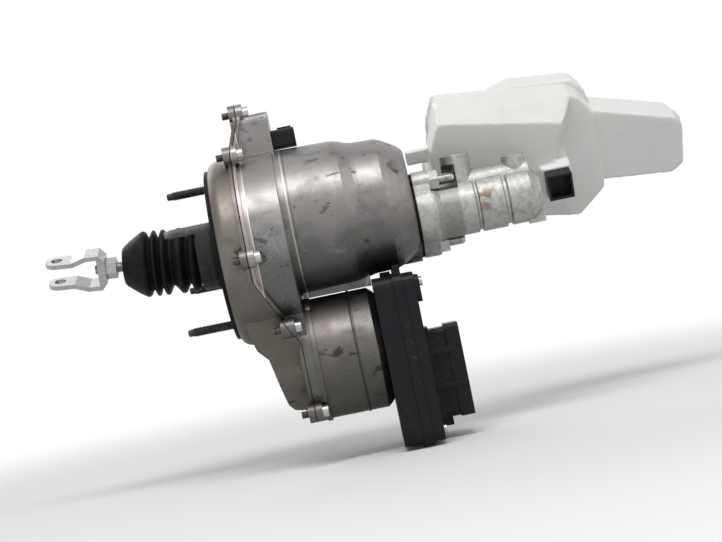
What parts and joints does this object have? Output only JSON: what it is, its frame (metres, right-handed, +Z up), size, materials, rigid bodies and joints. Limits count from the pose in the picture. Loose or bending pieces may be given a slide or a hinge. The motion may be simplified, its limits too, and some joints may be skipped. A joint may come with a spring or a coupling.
{
  "type": "brake booster",
  "caption": "Motor-driven brake booster with push rod and clevis, gear case, motor with control unit, tandem master cylinder and fluid reservoir.",
  "frame": {"origin": "centre of the rear mounting face, on the circle of the four firewall studs", "axes": "+X forward along the booster and master cylinder axis, +Z up in the stored pose, +Y completes a right-handed frame; the car's upright is turned 23 degrees from +Y towards +Z"},
  "size_m": [0.5837, 0.2275, 0.316],
  "materials": {
    "cast_cover": "dull cast",
    "cast_housing": "worn bare metal",
    "mc_alloy": "cast and machined",
    "motor_metal": "blotched dull",
    "zinc": "zinc plated",
    "dark_steel": "dark oiled",
    "bright_steel": "ground",
    "rubber": "satin",
    "black_plastic": "moulded",
    "ivory_plastic": "translucent moulded",
    "copper": "enamelled wire",
    "contact": "plated contact",
    "board": "solder mask",
    "magnet": "sintered"
  },
  "bodies": {
    "housing": {"rear_cover": "cast_cover", "front_housing": "cast_housing", "housing_seal": "rubber", "housing_screws": "zinc", "firewall_gasket": "rubber", "firewall_studs": "dark_steel", "boot_cuff": "rubber", "guide_rods": "bright_steel", "return_spring": "dark_steel", "spindle_bearing": "bright_steel", "idler_pin": "bright_steel", "motor_stator": "dark_steel", "motor_windings": "copper", "motor_bearings": "bright_steel", "motor_can": "motor_metal", "motor_plate": "motor_metal", "motor_screws": "zinc", "phase_pins": "copper", "travel_sensor_board": "board", "travel_sensor_connector": "black_plastic", "ecu_base": "black_plastic", "ecu_frame": "black_plastic", "ecu_cover": "black_plastic", "ecu_board": "board", "ecu_capacitors": "magnet", "ecu_connector": "black_plastic", "ecu_pins": "contact", "ecu_screws": "zinc", "mc_body": "mc_alloy", "mc_gasket": "rubber", "mc_studs": "zinc", "mc_nuts": "zinc", "mc_seals": "rubber", "primary_spring": "bright_steel", "secondary_spring": "bright_steel", "reservoir_lower": "ivory_plastic", "reservoir_upper": "ivory_plastic", "reservoir_grommets": "rubber", "level_sensor": "black_plastic"},
    "rotor": {"motor_rotor": "bright_steel", "rotor_magnets": "magnet", "motor_pinion": "bright_steel"},
    "idler": {"idler_gear": "bright_steel"},
    "spindle_nut": {"spindle_nut_gear": "bright_steel"},
    "boost": {"boost_spindle": "bright_steel", "crosshead": "mc_alloy", "reaction_disc": "rubber", "output_rod": "bright_steel", "travel_magnet": "magnet"},
    "plunger": {"input_plunger": "bright_steel"},
    "push_rod": {"input_rod": "zinc", "jam_nut": "zinc", "clevis": "zinc", "boot": "rubber"},
    "primary": {"primary_piston": "mc_alloy"},
    "secondary": {"secondary_piston": "mc_alloy"},
    "cap": {"filler_cap": "black_plastic"},
    "float": {"level_float": "ivory_plastic"}
  },
  "joints": [
    {"name": "rotor_spin", "type": "hinge", "parent": "housing", "child": "rotor", "pos_m": [0.09, 0, -0.1044], "axis": [1, 0, 0], "range_deg": [0, 7405.71]},
    {"name": "idler_spin", "type": "hinge", "parent": "housing", "child": "idler", "pos_m": [0.03, 0.01044, -0.05908], "axis": [1, 0, 0], "range_deg": [-2165, 0]},
    {"name": "nut_spin", "type": "hinge", "parent": "housing", "child": "spindle_nut", "pos_m": [0.03, 0, 0], "axis": [1, 0, 0], "range_deg": [0, 722]},
    {"name": "boost_slide", "type": "slide", "parent": "housing", "child": "boost", "axis": [1, 0, 0], "range_m": [0, 0.0362], "stiffness_N_per_m": 150, "springref_m": -0.02, "deforming": ["return_spring", "boot"]},
    {"name": "plunger_lead", "type": "slide", "parent": "boost", "child": "plunger", "axis": [1, 0, 0], "range_m": [0, 0.0012]},
    {"name": "push_rod_tilt", "type": "hinge", "parent": "plunger", "child": "push_rod", "pos_m": [-0.006, 0, 0], "axis": [0, 1, 0], "range_deg": [-6, 1], "stiffness_Nm_per_rad": 8, "springref_deg": 1.72},
    {"name": "primary_slide", "type": "slide", "parent": "housing", "child": "primary", "axis": [1, 0, 0], "range_m": [0, 0.0362], "deforming": ["primary_spring"]},
    {"name": "secondary_slide", "type": "slide", "parent": "housing", "child": "secondary", "axis": [1, 0, 0], "range_m": [0, 0.0182], "deforming": ["secondary_spring"]},
    {"name": "cap_lift", "type": "slide", "parent": "housing", "child": "cap", "axis": [0, 0.9205, 0.3907], "range_m": [0, 0.03]},
    {"name": "float_rise", "type": "slide", "parent": "housing", "child": "float", "axis": [0, 0.9205, 0.3907], "range_m": [0, 0.02]}
  ],
  "couplings": [
    {"joint": "idler_spin", "follows": "rotor_spin", "ratio": -0.29167},
    {"joint": "nut_spin", "follows": "rotor_spin", "ratio": 0.097222},
    {"joint": "boost_slide", "follows": "rotor_spin", "m_per_rad": 0.00027852},
    {"joint": "primary_slide", "follows": "rotor_spin", "m_per_rad": 0.00027852},
    {"joint": "secondary_slide", "follows": "rotor_spin", "m_per_rad": 0.00013926}
  ]
}
